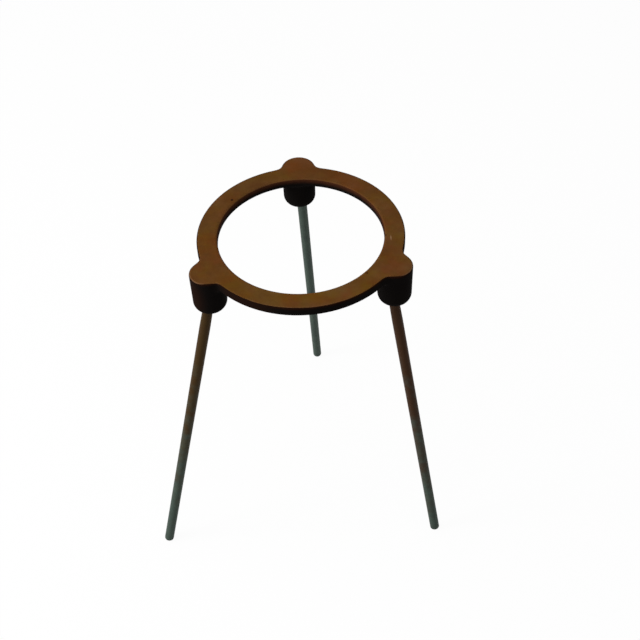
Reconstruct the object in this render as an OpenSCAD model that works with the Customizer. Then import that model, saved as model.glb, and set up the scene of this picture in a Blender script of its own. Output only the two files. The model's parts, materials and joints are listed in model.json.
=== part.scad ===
/* [Ring] */
// Outside diameter of the flat ring
ring_od = 127; // [120:0.5:134]
// Diameter of the opening that the flame and the vessel's base reach through
ring_id = 101.6; // [90:0.5:104]
// Thickness of the ring
ring_t = 6; // [4:0.1:7]
// Radius that breaks every edge of the ring and its lugs
edge_r = 0.8; // [0.4:0.1:1.2]

/* [Lugs and bosses] */
// Radius of the circle that the three bosses' axes stand on
boss_circle_r = 63.5; // [62:0.1:66]
// How far that circle's centre stands off the ring's axis, towards the left
boss_shift = 0.5; // [0:0.1:1]
// Radius of each lug and of the top of the boss under it
lug_r = 10.7; // [10.5:0.1:12.5]
// Radius of the hollow blend between a lug and the ring's rim
blend_r = 4.5; // [2:0.1:6]
// Height of a boss, from the ring's top face to the boss's lower face
boss_h = 28.4; // [24:0.1:32]
// Draft of the boss below the ring, in degrees
boss_draft = 0.7; // [0.5:0.1:1.5]
// Radius of the rounded lower rim of a boss
boss_rim_r = 5; // [2:0.1:5]

/* [Legs] */
// Overall height of the stand, floor to top face
stand_h = 236; // [180:1:300]
// Diameter of the leg rod
rod_d = 6.35; // [6.1:0.05:8]
// Radius that breaks the edge of a rod's foot
foot_r = 1.5; // [0.4:0.1:1.5]
// Radial clearance of a rod in its bore
rod_clearance = 0.05; // [0.02:0.01:0.1]
// Depth of a leg bore along its axis, from the boss's lower face
bore_depth = 16; // [12:0.5:18]

/* [Rear boss and leg] */
// Compass angle of the rear boss on its circle, in degrees
rear_at = 90; // [88:0.1:92]
// Lean of the rear leg from the vertical, in degrees
rear_lean = 12.7; // [8:0.1:16]
// Turn of the rear leg's lean away from straight outward, in degrees
rear_turn = -7; // [-16:0.5:16]
// How far outward of the boss's axis the rear bore opens
rear_out = 1.5; // [-2:0.1:2.5]
// How far to the counterclockwise side of the boss's axis the rear bore opens
rear_side = -1.1; // [-1.5:0.1:1.5]

/* [Left boss and leg] */
// Compass angle of the left boss on its circle, in degrees
left_at = 208.7; // [207:0.1:213]
// Lean of the left leg from the vertical, in degrees
left_lean = 14.9; // [8:0.1:16]
// Turn of the left leg's lean away from straight outward, in degrees
left_turn = 2.5; // [-16:0.5:16]
// How far outward of the boss's axis the left bore opens
left_out = 2; // [-2:0.1:2.5]
// How far to the counterclockwise side of the boss's axis the left bore opens
left_side = 0.1; // [-1.5:0.1:1.5]

/* [Right boss and leg] */
// Compass angle of the right boss on its circle, in degrees
right_at = 331.4; // [327:0.1:333]
// Lean of the right leg from the vertical, in degrees
right_lean = 11.8; // [8:0.1:16]
// Turn of the right leg's lean away from straight outward, in degrees
right_turn = -15; // [-16:0.5:16]
// How far outward of the boss's axis the right bore opens
right_out = -0.7; // [-2:0.1:2.5]
// How far to the counterclockwise side of the boss's axis the right bore opens
right_side = 0.2; // [-1.5:0.1:1.5]

/* [Hidden] */
$fn = 96;
eps = 0.01;

// Each boss and leg: compass angle, lean and turn of the leg, outward and sideways place of the bore's mouth
REAR = [rear_at, rear_lean, rear_turn, rear_out, rear_side];
LEFT = [left_at, left_lean, left_turn, left_out, left_side];
RIGHT = [right_at, right_lean, right_turn, right_out, right_side];
LEGS = [REAR, LEFT, RIGHT];

ring_r = ring_od / 2;
rod_r = rod_d / 2;
boss_z = stand_h - boss_h;

// The hollow blend's centre stands off the rim and the lug by the blend's radius
blend_from_ring = ring_r + blend_r;
blend_from_lug = lug_r + blend_r;
// The hollow bites this much into the rim and the lug, so that the surfaces cross and don't just touch
blend_bite = 0.04;

function polar(r, angle) = r * [cos(angle), sin(angle)];

// Unit vector down a leg's axis, and the centre of its bore's mouth on the boss's lower face
function down(leg) = let (az = leg[0] + leg[2])
    [sin(leg[1]) * cos(az), sin(leg[1]) * sin(az), -cos(leg[1])];
function boss_at(leg) = polar(boss_circle_r, leg[0]) - [boss_shift, 0];
function mouth(leg) = concat(boss_at(leg) + polar(leg[3], leg[0]) + polar(leg[4], leg[0] + 90), boss_z);

// How far the rounded foot reaches past the centre of its last full section, along direction d
function foot_reach(leg, d) = foot_r + (rod_r - foot_r) * sqrt(1 - pow(down(leg) * d, 2));

// Centre of a rod's last full section, and the length of rod from the mouth to its end
function full_len(leg) = (boss_z - foot_reach(leg, [0, 0, 1])) / cos(leg[1]);
function foot(leg) = mouth(leg) + full_len(leg) * down(leg);
function leg_len(leg) = full_len(leg) + foot_r;

// Reach of the whole stand along a level direction, from the ring's axis
function reach(d) = max(concat([ring_r],
    [for (leg = LEGS) concat(boss_at(leg), 0) * d + lug_r],
    [for (leg = LEGS) foot(leg) * d + foot_reach(leg, d)]));

// The frame's origin is on the floor, under the middle of the stand's bounding box
origin_x = (reach([1, 0, 0]) - reach([-1, 0, 0])) / 2;
origin_y = (reach([0, 1, 0]) - reach([0, -1, 0])) / 2;

module in_frame() {
    translate([-origin_x, -origin_y, 0]) children();
}

// Half section of a disc of radius r and height h, with its rim rounded top and bottom
module disc_section(r, h) {
    square([r - edge_r, h]);
    translate([0, edge_r]) square([r, h - 2 * edge_r]);
    for (z = [edge_r, h - edge_r]) translate([r - edge_r, z]) circle(edge_r);
}

// Half section of the cutter that leaves a hollow wall of radius r and height h, rounded the same
module hollow_section(r, h) {
    difference() {
        translate([0, -eps]) square([r + edge_r, h + 2 * eps]);
        translate([r, edge_r]) square([edge_r + eps, h - 2 * edge_r]);
        for (z = [edge_r, h - edge_r]) translate([r + edge_r, z]) circle(edge_r);
    }
}

module ring_disc() {
    translate([0, 0, stand_h - ring_t]) rotate_extrude() disc_section(ring_r, ring_t);
}

module ring_opening() {
    translate([0, 0, stand_h - ring_t]) rotate_extrude() hollow_section(ring_id / 2, ring_t);
}

// A lug and the drafted boss under it, turned as one shape
module boss(leg) {
    shoulder_h = boss_h - ring_t;
    rim_wall_r = lug_r - (shoulder_h - boss_rim_r) * tan(boss_draft);
    translate(concat(boss_at(leg), boss_z)) rotate_extrude() {
        square([rim_wall_r - boss_rim_r, boss_rim_r]);
        intersection() {
            translate([rim_wall_r - boss_rim_r, boss_rim_r]) circle(boss_rim_r);
            square([rim_wall_r, boss_rim_r]);
        }
        polygon([[0, boss_rim_r], [rim_wall_r, boss_rim_r], [lug_r, shoulder_h],
                 [lug_r, boss_h - edge_r], [0, boss_h - edge_r]]);
        translate([0, boss_h - edge_r]) square([lug_r - edge_r, edge_r]);
        translate([lug_r - edge_r, boss_h - edge_r]) circle(edge_r);
    }
}

// The blend on one side of a lug: a wedge between the three centres, with a spool cut out of it.
// The triangle's sides are known, so the cosine rule gives its angle at the ring's axis.
module blend(leg, side) {
    boss_r = norm(boss_at(leg));
    boss_angle = atan2(boss_at(leg).y, boss_at(leg).x);
    blend_angle = acos((pow(blend_from_ring, 2) + pow(boss_r, 2) - pow(blend_from_lug, 2))
                       / (2 * blend_from_ring * boss_r));
    hollow = polar(blend_from_ring, boss_angle + side * blend_angle);
    translate([0, 0, stand_h - ring_t]) difference() {
        linear_extrude(ring_t) polygon([[0, 0], boss_at(leg), hollow]);
        translate(hollow) rotate_extrude() hollow_section(blend_r + blend_bite, ring_t);
    }
}

// Carries its children from the Z axis onto a leg's axis, with the origin at its bore's mouth
module on_leg_axis(leg) {
    translate(mouth(leg)) rotate([0, 0, leg[0] + leg[2]]) rotate([0, -leg[1], 0]) children();
}

// The blind hole for a leg, long enough below to open through the boss's lower face
module leg_bore(leg) {
    on_leg_axis(leg) translate([0, 0, -rod_d])
        cylinder(h = bore_depth + rod_d, r = rod_r + rod_clearance);
}

module top_casting() {
    color([0.36, 0.24, 0.09]) in_frame() difference() {
        union() {
            ring_disc();
            for (leg = LEGS) {
                boss(leg);
                for (side = [-1, 1]) blend(leg, side);
            }
        }
        ring_opening();
        for (leg = LEGS) leg_bore(leg);
    }
}

// A plain round rod: its top end seats on the floor of its bore, its foot has a rounded edge
module leg_rod(leg) {
    rod_len = leg_len(leg) + bore_depth;
    color([0.27, 0.28, 0.24]) in_frame() on_leg_axis(leg) translate([0, 0, bore_depth])
        mirror([0, 0, 1]) rotate_extrude() {
            square([rod_r, rod_len - foot_r]);
            square([rod_r - foot_r, rod_len]);
            translate([rod_r - foot_r, rod_len - foot_r]) circle(foot_r);
        }
}

module leg_rear() { leg_rod(REAR); }
module leg_left() { leg_rod(LEFT); }
module leg_right() { leg_rod(RIGHT); }

top_casting();
leg_rear();
leg_left();
leg_right();
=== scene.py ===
import json
from math import cos, pi, radians, sin, sqrt

import bpy
import numpy as np
from mathutils import Matrix, Vector


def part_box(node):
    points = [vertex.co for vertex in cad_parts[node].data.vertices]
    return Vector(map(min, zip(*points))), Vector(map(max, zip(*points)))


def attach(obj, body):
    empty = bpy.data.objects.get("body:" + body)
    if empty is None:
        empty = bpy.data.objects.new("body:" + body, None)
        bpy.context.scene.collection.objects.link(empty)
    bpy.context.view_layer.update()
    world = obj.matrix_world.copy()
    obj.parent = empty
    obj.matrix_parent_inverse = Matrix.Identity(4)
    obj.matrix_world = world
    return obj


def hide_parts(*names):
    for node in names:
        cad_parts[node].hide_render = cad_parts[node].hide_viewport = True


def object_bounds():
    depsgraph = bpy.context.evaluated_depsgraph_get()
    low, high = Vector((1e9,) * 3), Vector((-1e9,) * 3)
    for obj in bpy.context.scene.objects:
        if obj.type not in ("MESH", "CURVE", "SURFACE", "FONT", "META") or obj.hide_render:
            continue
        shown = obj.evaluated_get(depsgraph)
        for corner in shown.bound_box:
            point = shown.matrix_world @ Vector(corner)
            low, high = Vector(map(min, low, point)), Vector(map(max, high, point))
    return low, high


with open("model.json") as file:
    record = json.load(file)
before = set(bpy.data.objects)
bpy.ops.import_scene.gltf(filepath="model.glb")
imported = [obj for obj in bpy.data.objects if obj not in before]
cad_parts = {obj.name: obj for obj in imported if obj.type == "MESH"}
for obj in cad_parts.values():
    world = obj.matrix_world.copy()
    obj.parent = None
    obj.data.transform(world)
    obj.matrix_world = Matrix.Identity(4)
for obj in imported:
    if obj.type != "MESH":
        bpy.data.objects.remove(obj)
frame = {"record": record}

bl_info = {
    "name": "Laboratory tripod stand",
    "version": (1, 0, 0),
    "blender": (4, 5, 0),
    "location": "3D View > Sidebar > Tripod stand",
    "description": "Dresses a cast ring on three splayed rods with its finish, a floor and a camera",
    "category": "Object",
}

CAD_LOW, CAD_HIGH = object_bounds()
MM = 0.001
MM_PER_M = 1000

# The ring's axis and opening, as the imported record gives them, and its top face
OPENING = next(m for m in frame["record"]["mounts"] if m["name"] == "ring_opening")
AXIS = Vector((OPENING["pos_m"][0], OPENING["pos_m"][1], 0))
OPENING_R = OPENING["dims"]["r_mm"] * MM
TOP_Z = CAD_HIGH.z

# The casting and the rods
RING_R, RING_T = 63.5 * MM, 6 * MM
BOSS_CIRCLE, BOSS_SHIFT = 63.5 * MM, 0.5 * MM
LUG_R, BOSS_H, BOSS_DRAFT = 10.7 * MM, 28.4 * MM, 0.7
ROD_R, BORE_DEPTH, BORE_GAP = 3.175 * MM, 16 * MM, 0.05 * MM

# Each rod: compass angle of its boss, lean from the vertical, turn of the lean, how far outward
# and to the counterclockwise side of the boss's axis it leaves the boss
RODS = {
    "leg_rear": (90.0, 12.7, -7.0, 1.5 * MM, -1.1 * MM),
    "leg_left": (208.7, 14.9, 2.5, 2.0 * MM, 0.1 * MM),
    "leg_right": (331.4, 11.8, -15.0, -0.7 * MM, 0.2 * MM),
}

# Middles of four marks: reddish brown patches on the left boss's outer flank and on the ring's front
# left wall, a pit at the rear left of the top face and a chip at its right
FLANK = AXIS + Vector((-66 * MM, -36 * MM, TOP_Z - 14 * MM))
WALL = AXIS + Vector((-34 * MM, -54 * MM, TOP_Z - 3 * MM))
PIT = AXIS + Vector((-42.6 * MM, 33.7 * MM, TOP_Z))
CHIP = AXIS + Vector((54.4 * MM, -6.9 * MM, TOP_Z))

# Mesh of a rod: points round it, stations along its run and round its foot
ROD_SIDES, RUN_STATIONS, FOOT_STATIONS = 48, 90, 9
# How fast the lacquer on a rod thickens along its run, and how fast it thins out again
COAT_RISE, COAT_FALL = 12, 1.5
# Drawing streaks are this much squeezed along the rod, which draws them fifty times as long as wide
STREAK_SQUEEZE = 0.02

# The casting's skin: room left round it in the grid, the density on its surface and how it grows
# inwards per metre, and how often each point is moved onto the exact surface
GRID_GAP = Vector((2, 2, 2)) * MM
SKIN_DENSITY, DENSITY_GAIN, SKIN_PASSES = 10.0, 1000.0, 3

# The two colour inputs of a Mix node
MIX_A, MIX_B = 6, 7

# Stage: half the floor's side, the light from all round, and the lamps as name, place, size and
# power, aimed at the same point
FLOOR_REACH, FILL_LIGHT = 4.0, 0.26
LAMPS = (("Overhead", (-0.3, -0.1, 1.6), 1.2, 14.5), ("Left", (-1.5, -0.3, 0.7), 0.6, 19.0))
LAMP_AIM = Vector((0, 0, 0.15))

# Camera: how far it looks down and rolls, its sensor and lens in millimetres, and where it stands
LOOK_DOWN, ROLL = radians(46.67), radians(-2.322)
SENSOR_WIDTH, FOCAL_LENGTH = 36, 66.075
CAMERA_PLACE = AXIS + Vector((0.009574, -0.528798, TOP_Z + 0.483284))


# Helpers ---------------------------------------------------------------------------------------

def linear(hex_colour):
    """An sRGB hex colour as the linear RGBA that a shader wants."""
    srgb = [int(hex_colour[i:i + 2], 16) / 255 for i in (1, 3, 5)]
    return [c / 12.92 if c <= 0.04045 else ((c + 0.055) / 1.055) ** 2.4 for c in srgb] + [1.0]


def add(tree, kind, *inputs, named=None, **settings):
    """Adds a node with its settings and links, and gives its first output.

    An input is a value, a socket to link, or None to leave it alone; named ones go by their label
    or number.
    """
    node = tree.nodes.new(kind)
    for key, value in settings.items():
        setattr(node, key, value)
    for key, value in [*enumerate(inputs), *(named or {}).items()]:
        if isinstance(value, bpy.types.NodeSocket):
            tree.links.new(value, node.inputs[key])
        elif value is not None:
            node.inputs[key].default_value = value
    return next((s for s in node.outputs if s.enabled), None)


def polar(radius, degrees):
    """A level vector of this length at a compass angle."""
    return Vector((cos(radians(degrees)), sin(radians(degrees)), 0)) * radius


def boss_centre(name):
    """Where a boss's axis stands, level with the floor; their circle is a little off the ring's."""
    return AXIS + polar(BOSS_CIRCLE, RODS[name][0]) - Vector((BOSS_SHIFT, 0, 0))


def rod_line(name):
    """The middle of a rod's seat in its bore, and the unit vector down the rod."""
    at, lean, turn, out, side = RODS[name]
    down = polar(sin(radians(lean)), at + turn) - Vector((0, 0, cos(radians(lean))))
    mouth = boss_centre(name) + polar(out, at) + polar(side, at + 90)
    mouth.z = TOP_Z - BOSS_H
    return mouth - down * BORE_DEPTH, down


def spot(tree, place, middle, squeeze, core, rim):
    """How much of a mark shows at a place: all of it within the core, none beyond the rim."""
    away = add(tree, "ShaderNodeVectorMath", place, middle, operation="SUBTRACT")
    away = add(tree, "ShaderNodeVectorMath", away, squeeze, operation="MULTIPLY")
    reach = add(tree, "ShaderNodeVectorMath", away, operation="LENGTH")
    return add(tree, "ShaderNodeMapRange", reach, core, rim, 1.0, 0.0,
               interpolation_type="SMOOTHSTEP")


def patches(tree, place, offset, across_mm, detail, break_up):
    """Soft random patches of this size; the offset picks which part of the pattern is used."""
    moved = add(tree, "ShaderNodeVectorMath", place, offset)
    return add(tree, "ShaderNodeTexNoise", moved, None, MM_PER_M / across_mm, detail, break_up)


def new_piece(name, mesh, node):
    """Links a finished mesh as the piece that stands for a CAD node."""
    piece = bpy.data.objects.new(name, mesh)
    bpy.context.scene.collection.objects.link(piece)
    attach(piece, "root")
    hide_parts(node)


def new_material(name):
    """A material with an empty tree, its tree and the object coordinates in it."""
    material = bpy.data.materials.new(name)
    material.use_nodes = True
    tree = material.node_tree
    tree.nodes.clear()
    return material, tree, tree.nodes.new("ShaderNodeTexCoord").outputs["Object"]


# Materials -------------------------------------------------------------------------------------

def brown_lacquer(look):
    """Worn brown lacquer on sand-cast iron.

    A thin tinted film over a smooth casting: it drifts between olive and reddish brown where its
    thickness changes and is rubbed pale along the edges that get knocked, with a painted highlight
    there. The walls are painted near black: a dark casting colour with painted shade in it.
    """
    mat, t, place = new_material("Worn brown lacquer on cast iron")
    edge, exposed, inner = (add(t, "ShaderNodeAttribute", attribute_name=label).node.outputs["Fac"]
                            for label in ("edge_mm", "exposed", "inner"))
    xyz = add(t, "ShaderNodeSeparateXYZ", place).node.outputs
    depth = add(t, "ShaderNodeMath", TOP_Z, xyz["Z"], operation="SUBTRACT")
    depth_mm = add(t, "ShaderNodeMath", depth, MM_PER_M, operation="MULTIPLY")

    # The film drifts between olive and reddish brown in soft patches 35 mm across, with flecks of
    # 12 mm and less in them
    drift = patches(t, place, (0.22, -0.29, 0.19), across_mm=35, detail=2.0, break_up=0.5)
    fleck = patches(t, place, (0.1, -0.54, 0.1), across_mm=12, detail=4.0, break_up=0.65)
    mottle = add(t, "ShaderNodeMath", fleck, 1.2, drift, operation="MULTIPLY_ADD")
    hue = add(t, "ShaderNodeMapRange", mottle, 0.9, 1.3, 0.0, 1.0)
    tone = add(t, "ShaderNodeMix", hue, data_type="RGBA",
               named={MIX_A: list(look.film_olive), MIX_B: list(look.film_red)})

    # A faint greyish bloom dulls it in patches of 20 mm
    haze = patches(t, place, (-0.51, -0.38, -0.29), across_mm=20, detail=3.0, break_up=0.6)
    bloom = add(t, "ShaderNodeMapRange", haze, 0.37, 0.75, 0.0, 0.3)
    dulled = add(t, "ShaderNodeMix", bloom, data_type="RGBA",
                 named={MIX_A: tone, MIX_B: list(look.film_bloom)})

    # Its thickness varies slowly over 50 mm and clouds it in patches of 16 mm and less
    slow = patches(t, place, (0.37, -0.48, -0.31), across_mm=50, detail=2.0, break_up=0.5)
    cloud = patches(t, place, (0.59, -0.09, -0.33), across_mm=16, detail=4.0, break_up=0.78)
    both = add(t, "ShaderNodeMath", slow, 2.0, operation="MULTIPLY")
    both = add(t, "ShaderNodeMath", cloud, 3.25, both, operation="MULTIPLY_ADD")
    thick = add(t, "ShaderNodeMapRange", both, 1.89, 3.14, 0.75, 0.0)
    film = add(t, "ShaderNodeMix", thick, data_type="RGBA",
               named={MIX_A: dulled, MIX_B: list(look.film_thick)})

    # A few dark pits up to 1.6 mm across, where grit lifted the film, one larger pit, and a pale
    # chip about 5 mm long
    pit_cells = add(t, "ShaderNodeTexVoronoi", place, None, MM_PER_M / 16)
    pits = add(t, "ShaderNodeMapRange", pit_cells, 0.025, 0.05, 0.8, 0.0)
    pits = add(t, "ShaderNodeMath", pits, spot(t, place, PIT, (1, 1, 1), 0.4 * MM, 1.2 * MM),
               operation="MAXIMUM")
    pitted = add(t, "ShaderNodeMix", pits, data_type="RGBA",
                 named={MIX_A: film, MIX_B: list(look.upper_wall_shade_and_pit)})
    chip = spot(t, place, CHIP, (1.5, 0.3, 1), 0.1 * MM, 0.9 * MM)
    pitted = add(t, "ShaderNodeMix", chip, data_type="RGBA",
                 named={MIX_A: pitted, MIX_B: list(look.rubbed)})

    # Walls, painted near black: a dark casting colour with painted shade in it, reddish dark just
    # under the edge, lighter and further down round the opening, where the inner wall is lit, then
    # near black
    edge_wobble = add(t, "ShaderNodeTexNoise", place, None, MM_PER_M / 5, 3.0, 0.6)
    wobbled_depth = add(t, "ShaderNodeMath", edge_wobble, -2.0, depth_mm, operation="MULTIPLY_ADD")
    shade_fade_end = add(t, "ShaderNodeMapRange", inner, 0.0, 1.0, 0.8, 3.2)
    run = add(t, "ShaderNodeMapRange", wobbled_depth, -0.8, shade_fade_end, 0.0, 1.0,
              interpolation_type="SMOOTHSTEP")
    upper = add(t, "ShaderNodeMix", inner, data_type="RGBA",
                named={MIX_A: list(look.upper_wall_shade_and_pit), MIX_B: list(look.inner_wall_lit_shade)})
    wall = add(t, "ShaderNodeMix", run, data_type="RGBA",
               named={MIX_A: upper, MIX_B: list(look.lower_wall_shade)})

    # The left boss's outer flank and the ring's wall beside it are a lighter reddish brown
    reddish_patch = add(t, "ShaderNodeMath", spot(t, place, FLANK, (1, 1, 0.5), 4 * MM, 12 * MM),
                spot(t, place, WALL, (0.5, 0.5, 0.5), 4 * MM, 12 * MM), operation="MAXIMUM")
    patched = add(t, "ShaderNodeMix", reddish_patch, data_type="RGBA",
                  named={MIX_A: wall, MIX_B: list(look.wall_patched)})

    # The dark wall colour with its painted shade laps over the ring's outer edge by about a
    # millimetre at the very front, stops at it elsewhere, and stops a little below the edge of the
    # opening and of the lugs' tips
    front_edge_shade = add(t, "ShaderNodeMapRange", xyz["Y"], AXIS.y - 50 * MM, AXIS.y - 62 * MM, 0.0, 0.8)
    shade_reach = add(t, "ShaderNodeMath", front_edge_shade, edge, operation="SUBTRACT")
    shade_reach = add(t, "ShaderNodeMath", edge_wobble, 0.8, shade_reach, operation="MULTIPLY_ADD")
    tip = add(t, "ShaderNodeMapRange", exposed, 0.6, 0.95, 0.0, 1.0)
    worn = add(t, "ShaderNodeMath", inner, tip, operation="MAXIMUM")
    kept = add(t, "ShaderNodeMath", shade_reach, worn, operation="SUBTRACT")
    over_edge = add(t, "ShaderNodeMapRange", kept, 0.3, 0.5, 0.0, 1.0)
    first = add(t, "ShaderNodeMapRange", worn, 0.0, 1.0, 0.03, 0.2)
    last = add(t, "ShaderNodeMapRange", worn, 0.0, 1.0, 0.12, 0.5)
    under_edge = add(t, "ShaderNodeMapRange", depth_mm, first, last, 0.0, 1.0)
    wall_shade_mask = add(t, "ShaderNodeMath", over_edge, under_edge, operation="MAXIMUM")

    # Rubbed line with a painted highlight in it, a millimetre wide just inside the edges, broken up,
    # strongest at the lugs' tips
    rub_highlight_noise = patches(t, place, (-0.37, 0.4, 0.19), across_mm=7, detail=3.0, break_up=0.6)
    rub_highlight_band = add(t, "ShaderNodeMapRange", shade_reach, 0.3, -0.9, 1.0, 0.0,
                   interpolation_type="SMOOTHSTEP")
    rub_highlight_chance = add(t, "ShaderNodeMath", exposed, 0.6, rub_highlight_noise, operation="MULTIPLY_ADD")
    rub_highlight_amount = add(t, "ShaderNodeMapRange", rub_highlight_chance, 0.55, 1.1, 0.1, 0.85)
    rub_highlight = add(t, "ShaderNodeMath", rub_highlight_band, rub_highlight_amount, operation="MULTIPLY")
    top = add(t, "ShaderNodeMix", rub_highlight, data_type="RGBA",
              named={MIX_A: pitted, MIX_B: list(look.rubbed)})
    colour = add(t, "ShaderNodeMix", wall_shade_mask, data_type="RGBA",
                 named={MIX_A: top, MIX_B: patched})

    # Film, satin on top and duller on the walls, over a swell of 7 mm and a faint cast grain, which
    # is drawn as coarse as 0.9 mm so that it shows at all
    grain = add(t, "ShaderNodeTexNoise", place, None, MM_PER_M / 0.9, 3.0, 0.6)
    swell = add(t, "ShaderNodeTexNoise", place, None, MM_PER_M / 7, 2.0, 0.5)
    relief = add(t, "ShaderNodeMath", swell, 2.0, grain, operation="MULTIPLY_ADD")
    bump = add(t, "ShaderNodeBump", 0.35, 0.12 * MM, named={"Height": relief})
    satin = add(t, "ShaderNodeMapRange", cloud, 0.3, 0.7, 0.62, 0.52)
    rough = add(t, "ShaderNodeMath", wall_shade_mask, 0.25, satin, operation="MULTIPLY_ADD")
    shader = add(t, "ShaderNodeBsdfPrincipled", colour, 0.0, rough,
                 named={"Normal": bump, "Specular IOR Level": 0.015})
    add(t, "ShaderNodeOutputMaterial", shader)
    return mat


def oxidised_steel(look):
    """Drawn steel rod under years of dull grey-green oxide.

    The oxide hides the metal's shine and leaves a soft, faintly streaked satin. Lacquer that ran
    down from the casting browns the upper part of a rod where its "film" attribute says so, more
    reddish where "red" does, and that brown also holds a painted reflection of a brown surround.
    """
    mat, t, place = new_material("Oxidised drawn steel")
    along = add(t, "ShaderNodeAttribute", attribute_name="along_m").node.outputs["Vector"]
    film, red = (add(t, "ShaderNodeAttribute", attribute_name=label).node.outputs["Fac"]
                 for label in ("film", "red"))

    # Oxide cloud of about 8 mm, and drawing streaks 0.5 mm wide along the rod
    cloud = add(t, "ShaderNodeTexNoise", place, None, MM_PER_M / 8, 4.0, 0.6)
    streaks = add(t, "ShaderNodeTexNoise", along, None, MM_PER_M / 0.5, 3.0, 0.6)
    both = add(t, "ShaderNodeMath", streaks, 0.4, cloud, operation="MULTIPLY_ADD")
    light = add(t, "ShaderNodeMapRange", both, 0.45, 0.95, 0.0, 1.0)
    oxide = add(t, "ShaderNodeMix", light, data_type="RGBA",
                named={MIX_A: list(look.oxide_dark), MIX_B: list(look.oxide_light)})

    # Brown film with a painted reflection in it, ragged at its lower end, olive on one rod and
    # reddish on the other
    patch = add(t, "ShaderNodeTexNoise", place, None, MM_PER_M / 9, 4.0, 0.6)
    ragged = add(t, "ShaderNodeMath", patch, film, operation="ADD")
    run_and_reflection_cover = add(t, "ShaderNodeMapRange", ragged, 0.55, 1.3, 0.0, 1.0,
                interpolation_type="SMOOTHSTEP")
    drift = add(t, "ShaderNodeMath", patch, red, operation="ADD")
    tint = add(t, "ShaderNodeMapRange", drift, 0.5, 1.3, 0.0, 1.0)
    brown = add(t, "ShaderNodeMix", tint, data_type="RGBA",
                named={MIX_A: list(look.run_olive_and_reflection), MIX_B: list(look.run_red_and_reflection)})
    colour = add(t, "ShaderNodeMix", run_and_reflection_cover, data_type="RGBA",
                 named={MIX_A: oxide, MIX_B: brown})

    # Pitting of about 0.8 mm under the oxide
    pits = add(t, "ShaderNodeTexNoise", place, None, MM_PER_M / 0.8, 2.0, 0.6)
    bump = add(t, "ShaderNodeBump", 0.35, 0.06 * MM, named={"Height": pits})
    rough = add(t, "ShaderNodeMapRange", cloud, 0.3, 0.7, 0.42, 0.56)
    shader = add(t, "ShaderNodeBsdfPrincipled", colour, 0.0, rough,
                 named={"Normal": bump, "Specular IOR Level": 0.05})
    add(t, "ShaderNodeOutputMaterial", shader)
    return mat


def sees_white(tree):
    """Whether a ray comes from the camera, off a shiny surface or through a clear one."""
    rays = tree.nodes.new("ShaderNodeLightPath").outputs
    seen = add(tree, "ShaderNodeMath", rays["Is Camera Ray"], rays["Is Glossy Ray"],
               operation="MAXIMUM")
    return add(tree, "ShaderNodeMath", seen, rays["Is Transmission Ray"], operation="MAXIMUM")


def pale_floor():
    """Matt white paper: white to the camera and in reflections, but it still takes a shadow."""
    mat, t, place = new_material("Matt white paper")
    tooth = add(t, "ShaderNodeTexNoise", place, None, MM_PER_M / 1.5, 2.0, 0.5)
    tone = add(t, "ShaderNodeMapRange", tooth, 0.0, 1.0, 0.86, 0.9)
    paper = add(t, "ShaderNodeBsdfDiffuse", tone)
    bright = add(t, "ShaderNodeEmission", (1, 1, 1, 1), 1.0)
    lift = add(t, "ShaderNodeMath", sees_white(t), 0.95, operation="MULTIPLY")
    add(t, "ShaderNodeOutputMaterial", add(t, "ShaderNodeMixShader", lift, paper, bright))
    return mat


# Geometry --------------------------------------------------------------------------------------

def corner(t, across, up, radius):
    """Distance to a rounded corner, given the distances to its two sides moved in by the radius."""
    both = add(t, "ShaderNodeCombineXYZ", across, up, 0.0)
    beyond = add(t, "ShaderNodeVectorMath", both, (0, 0, 0), operation="MAXIMUM")
    outside = add(t, "ShaderNodeVectorMath", beyond, operation="LENGTH")
    nearer = add(t, "ShaderNodeMath", across, up, operation="MAXIMUM")
    inside = add(t, "ShaderNodeMath", nearer, 0.0, operation="MINIMUM")
    distance = add(t, "ShaderNodeMath", outside, inside, operation="ADD")
    return add(t, "ShaderNodeMath", distance, radius, operation="SUBTRACT")


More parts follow.
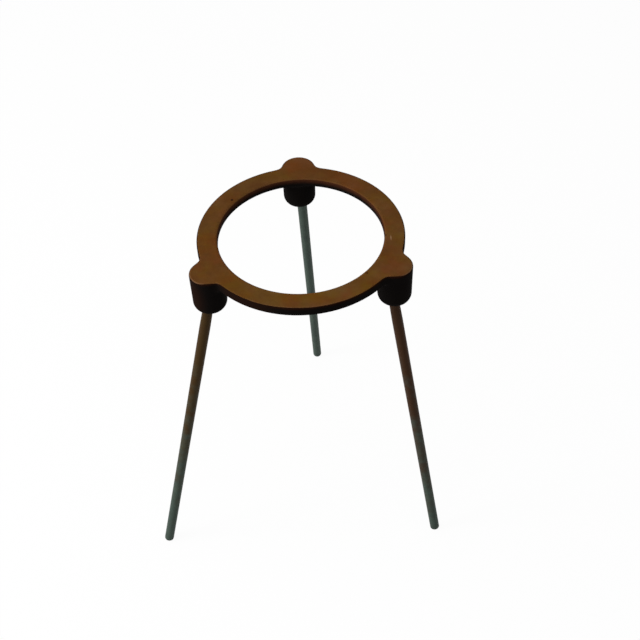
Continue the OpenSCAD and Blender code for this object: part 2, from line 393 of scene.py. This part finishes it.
def casting_nodes(sizes):
    """The casting as a distance field, turned into a skin.

    A rounded plate and a drafted boss are blended where they meet, so every inside corner is the
    soft fillet of a casting, and the three bores are cut out of it.
    """
    t = bpy.data.node_groups.new("Cast ring with three bosses", "GeometryNodeTree")
    t.interface.new_socket("Geometry", in_out="OUTPUT", socket_type="NodeSocketGeometry")
    for label in sizes:
        t.interface.new_socket(label, in_out="INPUT", socket_type="NodeSocketFloat")
    t.interface.new_socket("Finish", in_out="INPUT", socket_type="NodeSocketMaterial")
    given = t.nodes.new("NodeGroupInput").outputs

    place = add(t, "GeometryNodeInputPosition")
    from_axis = add(t, "ShaderNodeVectorMath", place, AXIS, operation="SUBTRACT")
    level = add(t, "ShaderNodeVectorMath", from_axis, (1, 1, 0), operation="MULTIPLY")
    r = add(t, "ShaderNodeVectorMath", level, operation="LENGTH")
    z = add(t, "ShaderNodeSeparateXYZ", place).node.outputs["Z"]
    drop = add(t, "ShaderNodeMath", TOP_Z, z, operation="SUBTRACT")

    # Distance to the nearest boss's axis
    rho = None
    for name in RODS:
        from_boss = add(t, "ShaderNodeVectorMath", level, boss_centre(name) - AXIS,
                        operation="SUBTRACT")
        away = add(t, "ShaderNodeVectorMath", from_boss, operation="LENGTH")
        rho = add(t, "ShaderNodeMath", rho, away, operation="MINIMUM") if rho else away

    # The plate without its opening
    half = add(t, "ShaderNodeMath", given["Ring thickness"], 0.5, operation="MULTIPLY")
    from_middle = add(t, "ShaderNodeMath", drop, half, operation="SUBTRACT")
    off_middle = add(t, "ShaderNodeMath", from_middle, operation="ABSOLUTE")
    face = add(t, "ShaderNodeMath", off_middle, half, operation="SUBTRACT")
    rim = add(t, "ShaderNodeMath", r, given["Ring radius"], operation="SUBTRACT")
    plate = corner(t, add(t, "ShaderNodeMath", rim, given["Edge radius"], operation="ADD"),
                   add(t, "ShaderNodeMath", face, given["Edge radius"], operation="ADD"),
                   given["Edge radius"])

    # A drafted boss: its top edge is rubbed rounder than the ring's, its lower rim is well rounded
    lug = add(t, "ShaderNodeMath", rho, given["Lug radius"], operation="SUBTRACT")
    slope = add(t, "ShaderNodeMath", given["Boss draft"], operation="TANGENT")
    wall = add(t, "ShaderNodeMath", drop, slope, lug, operation="MULTIPLY_ADD")
    under = add(t, "ShaderNodeMath", drop, given["Boss height"], operation="SUBTRACT")
    lower = corner(t, add(t, "ShaderNodeMath", wall, given["Boss rim radius"], operation="ADD"),
                   add(t, "ShaderNodeMath", under, given["Boss rim radius"], operation="ADD"),
                   given["Boss rim radius"])
    upper = corner(t, add(t, "ShaderNodeMath", wall, given["Lug edge"], operation="ADD"),
                   add(t, "ShaderNodeMath", given["Lug edge"], drop, operation="SUBTRACT"),
                   given["Lug edge"])
    boss = add(t, "ShaderNodeMath", lower, upper, operation="MAXIMUM")

    # Soft union, cut level with the top face, then the opening with its edges broken
    joined = add(t, "ShaderNodeMath", plate, boss, given["Fillet"], operation="SMOOTH_MIN")
    above = add(t, "ShaderNodeMath", drop, -1.0, operation="MULTIPLY")
    joined = add(t, "ShaderNodeMath", joined, above, operation="MAXIMUM")
    opening = add(t, "ShaderNodeMath", given["Opening radius"], r, operation="SUBTRACT")
    body = add(t, "ShaderNodeMath", joined, opening, given["Opening edge"], operation="SMOOTH_MAX")

    # The bores, each on its own rod's line
    for name in RODS:
        seat, down = rod_line(name)
        from_seat = add(t, "ShaderNodeVectorMath", place, seat, operation="SUBTRACT")
        swept = add(t, "ShaderNodeVectorMath", from_seat, down, operation="CROSS_PRODUCT")
        radial = add(t, "ShaderNodeVectorMath", swept, operation="LENGTH")
        clear = add(t, "ShaderNodeMath", given["Bore radius"], radial, operation="SUBTRACT")
        axial = add(t, "ShaderNodeVectorMath", from_seat, down, operation="DOT_PRODUCT")
        bore = add(t, "ShaderNodeMath", clear, axial, operation="MINIMUM")
        body = add(t, "ShaderNodeMath", body, bore, given["Bore edge"], operation="SMOOTH_MAX")

    # Skin: voxels first, then each point is moved onto the exact surface
    low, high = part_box("top_casting")
    counts = []
    for side in high - low + 2 * GRID_GAP:
        steps = add(t, "ShaderNodeMath", side, given["Voxel"], operation="DIVIDE")
        counts.append(add(t, "ShaderNodeMath", steps, operation="CEIL"))
    density = add(t, "ShaderNodeMath", body, -DENSITY_GAIN, SKIN_DENSITY, operation="MULTIPLY_ADD")
    cube = add(t, "GeometryNodeVolumeCube", density, 0.0, low - GRID_GAP, high + GRID_GAP, *counts)
    skin = add(t, "GeometryNodeVolumeToMesh", cube, None, None, SKIN_DENSITY, 0.0,
               resolution_mode="GRID")
    normal = add(t, "GeometryNodeInputNormal")
    inward = add(t, "ShaderNodeMath", body, -1.0, operation="MULTIPLY")
    step = add(t, "ShaderNodeVectorMath", normal, named={"Scale": inward}, operation="SCALE")
    for _ in range(SKIN_PASSES):
        skin = add(t, "GeometryNodeSetPosition", skin, None, None, step)

    # How far a point is from the top's nearest edge, in millimetres, how far out on a lug it is,
    # and whether it is on the inner half of the ring
    outline = add(t, "ShaderNodeMath", rim, lug, given["Fillet"], operation="SMOOTH_MIN")
    outline = add(t, "ShaderNodeMath", outline, opening, operation="MAXIMUM")
    across = add(t, "ShaderNodeMath", outline, 0.0, operation="MINIMUM")
    both = add(t, "ShaderNodeCombineXYZ", across, drop, 0.0)
    edge = add(t, "ShaderNodeVectorMath", both, operation="LENGTH")
    edge = add(t, "ShaderNodeMath", edge, MM_PER_M, operation="MULTIPLY")
    exposed = add(t, "ShaderNodeMapRange", r, RING_R, RING_R + LUG_R, 0.0, 1.0)
    inner = add(t, "ShaderNodeMath", r, (RING_R + OPENING_R) / 2, operation="LESS_THAN")
    for label, field in (("edge_mm", edge), ("exposed", exposed), ("inner", inner)):
        skin = add(t, "GeometryNodeStoreNamedAttribute", skin, None, label, field,
                   data_type="FLOAT", domain="POINT")
    skin = add(t, "GeometryNodeSetShadeSmooth", skin)
    skin = add(t, "GeometryNodeRealizeInstances", skin)
    skin = add(t, "GeometryNodeSetMaterial", skin, None, given["Finish"])
    add(t, "NodeGroupOutput", skin)
    return t


def make_casting(shape, finish):
    """Runs the tree once and keeps its result as a plain mesh."""
    sizes = {
        "Ring radius": RING_R, "Ring thickness": RING_T, "Opening radius": OPENING_R,
        "Lug radius": LUG_R, "Boss height": BOSS_H, "Boss draft": radians(BOSS_DRAFT),
        "Bore radius": ROD_R + BORE_GAP, "Bore edge": shape.bore_edge,
        "Edge radius": shape.edge_radius, "Lug edge": shape.lug_edge,
        "Opening edge": shape.opening_edge, "Boss rim radius": shape.boss_rim,
        "Fillet": shape.fillet, "Voxel": shape.voxel,
    }
    tree = casting_nodes(sizes)
    carrier = bpy.data.objects.new("carrier", bpy.data.meshes.new("carrier"))
    bpy.context.scene.collection.objects.link(carrier)
    grower = carrier.modifiers.new("Casting", "NODES")
    grower.node_group = tree
    for item in tree.interface.items_tree:
        if item.in_out == "INPUT":
            grower[item.identifier] = finish if item.name == "Finish" else sizes[item.name]
    grown = carrier.evaluated_get(bpy.context.evaluated_depsgraph_get())
    mesh = bpy.data.meshes.new_from_object(grown)
    carrier.modifiers.remove(grower)
    bpy.data.objects.remove(carrier)
    return mesh


def make_rod(name, shape, finish):
    """A drawn rod: a flat seat end, a straight run and a foot that use has rubbed round."""
    seat, down = rod_line(name)
    foot = shape.foot_round
    lean = sqrt(1 - down.z ** 2)
    length = foot + (seat.z - foot - (ROD_R - foot) * lean) / -down.z
    side = Vector((0, 0, 1)).cross(down).normalized()
    front = down.cross(side)
    film_end = {"leg_rear": 0.0, "leg_left": shape.film_left, "leg_right": shape.film_right}[name]

    # Stations down the rod: distance from the seat and radius there. The lacquer that ran down the
    # front rods thickens them a little under their bosses.
    stations = []
    for s in np.linspace(0.0, length - foot, RUN_STATIONS):
        run = (s - BORE_DEPTH) / film_end if film_end else 1.0
        coat = max(0.0, min(run * COAT_RISE, 1 - run * COAT_FALL))
        stations.append((s, ROD_R + shape.film_thickness * coat))
    for turn in np.linspace(0, pi / 2, FOOT_STATIONS)[1:]:
        stations.append((length - foot + foot * sin(turn), ROD_R - foot + foot * cos(turn)))
    verts, along, film, red = [], [], [], []
    for s, radius in stations:
        for k in range(ROD_SIDES):
            a = 2 * pi * k / ROD_SIDES
            verts.append(seat + down * s + (side * cos(a) + front * sin(a)) * radius)
            along.append((radius * cos(a), radius * sin(a), s * STREAK_SQUEEZE))
            film.append(1 - (s - BORE_DEPTH) / film_end if film_end else -1.0)
            red.append(1.0 if name == "leg_right" else 0.0)
    faces = [tuple(reversed(range(ROD_SIDES)))]
    for i in range(len(stations) - 1):
        for k in range(ROD_SIDES):
            a, b = i * ROD_SIDES + k, i * ROD_SIDES + (k + 1) % ROD_SIDES
            faces.append((a, b, b + ROD_SIDES, a + ROD_SIDES))
    faces.append(tuple(range(len(verts) - ROD_SIDES, len(verts))))
    mesh = bpy.data.meshes.new(name)
    mesh.from_pydata(verts, [], faces)
    mesh.attributes.new("along_m", "FLOAT_VECTOR", "POINT").data.foreach_set(
        "vector", np.array(along, np.float32).ravel())
    for label, values in (("film", film), ("red", red)):
        mesh.attributes.new(label, "FLOAT", "POINT").data.foreach_set("value", values)
    mesh.polygons.foreach_set("use_smooth", [len(face) == 4 for face in faces])
    mesh.materials.append(finish)
    mesh.update()
    return mesh


# Settings and operators ------------------------------------------------------------------------

def colour_setting(name, description, hex_colour):
    return bpy.props.FloatVectorProperty(name=name, description=description, subtype="COLOR",
                                         size=4, min=0.0, max=1.0, default=linear(hex_colour))


def length_setting(name, description, mm):
    return bpy.props.FloatProperty(name=name, description=description, subtype="DISTANCE",
                                   unit="LENGTH", min=0.0, default=mm * MM)


class TripodShape(bpy.types.PropertyGroup):
    """Sizes of the casting's soft corners and of the rods' wear"""
    fillet: length_setting("Fillet", "Reach of the soft corner between a boss and the ring", 6.0)
    edge_radius: length_setting("Edge radius", "Radius of the ring's edges", 0.8)
    lug_edge: length_setting("Lug edge", "Radius of the rubbed top edge of a lug", 1.2)
    opening_edge: length_setting("Opening edge", "Reach of the worn edge of the opening", 2.2)
    boss_rim: length_setting("Boss rim", "Radius of a boss's rounded lower rim", 6.0)
    bore_edge: length_setting("Bore edge", "Reach of the broken edge of a leg's bore", 0.8)
    foot_round: length_setting("Foot rounding", "Radius of a rod's rubbed foot", 1.6)
    film_left: length_setting("Film, left", "How far lacquer ran down the left rod", 210.0)
    film_right: length_setting("Film, right", "How far lacquer ran down the right rod", 240.0)
    film_thickness: length_setting("Film thickness", "How thick it lies under the bosses", 0.25)
    voxel: length_setting("Voxel", "Grid that the casting's skin is drawn on", 0.6)


class TripodLook(bpy.types.PropertyGroup):
    """Colours of the lacquer and of the steel, with painted shade, highlight and reflection among
    them
    """
    film_olive: colour_setting("Film, olive", "Lacquer where it lies olive", "#5C3F11")
    film_red: colour_setting("Film, red", "Lacquer where it lies reddish", "#5F3411")
    film_bloom: colour_setting("Film, bloom", "Greyish bloom on the lacquer", "#66503F")
    film_thick: colour_setting("Film, thick", "Lacquer where it lies thicker", "#4A2E14")
    # Pale rubbed line with a painted highlight along the edges; it also colours the chip
    rubbed: colour_setting("Rubbed edge", "Pale line along the edges", "#82644A")
    # Painted shade down the walls, lighter on the lit inner wall; the upper colour also fills the
    # pits
    upper_wall_shade_and_pit: colour_setting("Wall, upper", "Reddish dark under the edge", "#1C0C06")
    inner_wall_lit_shade: colour_setting("Wall, inner", "Reddish brown under the opening's edge", "#3C2012")
    lower_wall_shade: colour_setting("Wall, lower", "Near black below", "#0E0B0A")
    wall_patched: colour_setting("Wall, scuffed", "Reddish brown of the scuffed flank", "#1A0D08")
    oxide_dark: colour_setting("Oxide, dark", "Darker tone of the oxide", "#38433D")
    oxide_light: colour_setting("Oxide, light", "Lighter tone of the oxide", "#47544B")
    # Brown lacquer on the front rods with a painted reflection in it
    run_olive_and_reflection: colour_setting("Run, olive", "Lacquer on the left rod", "#3C2B12")
    run_red_and_reflection: colour_setting("Run, red", "Lacquer on the right rod", "#3B2616")


class TRIPOD_OT_casting(bpy.types.Operator):
    """Make the cast ring with its three bosses"""
    bl_idname = "tripod.casting"
    bl_label = "Cast ring"

    def execute(self, context):
        finish = brown_lacquer(context.scene.tripod_look)
        mesh = make_casting(context.scene.tripod_shape, finish)
        new_piece("cast_ring", mesh, "top_casting")
        return {"FINISHED"}


class TRIPOD_OT_rods(bpy.types.Operator):
    """Make the three leg rods"""
    bl_idname = "tripod.rods"
    bl_label = "Leg rods"

    def execute(self, context):
        finish = oxidised_steel(context.scene.tripod_look)
        for name in RODS:
            mesh = make_rod(name, context.scene.tripod_shape, finish)
            new_piece(name.replace("leg", "rod"), mesh, name)
        return {"FINISHED"}


class TRIPOD_OT_stage(bpy.types.Operator):
    """Make the floor, the lights and the camera"""
    bl_idname = "tripod.stage"
    bl_label = "Stage"

    def execute(self, context):
        scene = context.scene
        corners = [(x * FLOOR_REACH, y * FLOOR_REACH, 0)
                   for x, y in ((-1, -1), (1, -1), (1, 1), (-1, 1))]
        paper = bpy.data.meshes.new("floor")
        paper.from_pydata(corners, [], [(0, 1, 2, 3)])
        paper.materials.append(pale_floor())
        floor = bpy.data.objects.new("floor", paper)
        scene.collection.objects.link(floor)

        scene.world = bpy.data.worlds.new("Studio")
        scene.world.use_nodes = True
        t = scene.world.node_tree
        t.nodes.clear()
        fill = add(t, "ShaderNodeBackground", (1, 1, 1, 1), FILL_LIGHT)
        white = add(t, "ShaderNodeBackground", (1, 1, 1, 1), 1.0)
        add(t, "ShaderNodeOutputWorld", add(t, "ShaderNodeMixShader", sees_white(t), fill, white))

        for label, where, size, power in LAMPS:
            lamp = bpy.data.lights.new(label, "AREA")
            lamp.size, lamp.energy = size, power
            holder = bpy.data.objects.new(label, lamp)
            holder.location = where
            aim = LAMP_AIM - Vector(where)
            holder.rotation_euler = aim.to_track_quat("-Z", "Y").to_euler()
            scene.collection.objects.link(holder)

        # The camera stands in front and looks down at the stand, with a slight roll
        ahead = Vector((0, cos(LOOK_DOWN), -sin(LOOK_DOWN)))
        level, up = Vector((1, 0, 0)), Vector((0, sin(LOOK_DOWN), cos(LOOK_DOWN)))
        right = level * cos(ROLL) + up * sin(ROLL)
        top = up * cos(ROLL) - level * sin(ROLL)
        lens = bpy.data.cameras.new("Camera")
        lens.sensor_width, lens.lens = SENSOR_WIDTH, FOCAL_LENGTH
        lens.clip_start = 0.01
        camera = bpy.data.objects.new("Camera", lens)
        pose = Matrix((right, top, -ahead)).transposed().to_4x4()
        pose.translation = CAMERA_PLACE
        camera.matrix_world = pose
        scene.collection.objects.link(camera)
        scene.camera = camera
        scene.view_settings.view_transform = "Standard"
        return {"FINISHED"}


class TRIPOD_PT_panel(bpy.types.Panel):
    """Lists the stand's settings and makers"""
    bl_label = "Tripod stand"
    bl_idname = "TRIPOD_PT_panel"
    bl_space_type = "VIEW_3D"
    bl_region_type = "UI"
    bl_category = "Tripod stand"

    def draw(self, context):
        for group in (context.scene.tripod_shape, context.scene.tripod_look):
            for key in type(group).__annotations__:
                self.layout.prop(group, key)
        for maker in MAKERS:
            self.layout.operator(maker.bl_idname)


MAKERS = (TRIPOD_OT_casting, TRIPOD_OT_rods, TRIPOD_OT_stage)
CLASSES = (TripodShape, TripodLook, *MAKERS, TRIPOD_PT_panel)


def register():
    for cls in CLASSES:
        bpy.utils.register_class(cls)
    bpy.types.Scene.tripod_shape = bpy.props.PointerProperty(type=TripodShape)
    bpy.types.Scene.tripod_look = bpy.props.PointerProperty(type=TripodLook)


def unregister():
    del bpy.types.Scene.tripod_shape
    del bpy.types.Scene.tripod_look
    for cls in reversed(CLASSES):
        bpy.utils.unregister_class(cls)


def main():
    register()
    bpy.ops.tripod.casting()
    bpy.ops.tripod.rods()
    bpy.ops.tripod.stage()


if __name__ == "__main__":
    main()
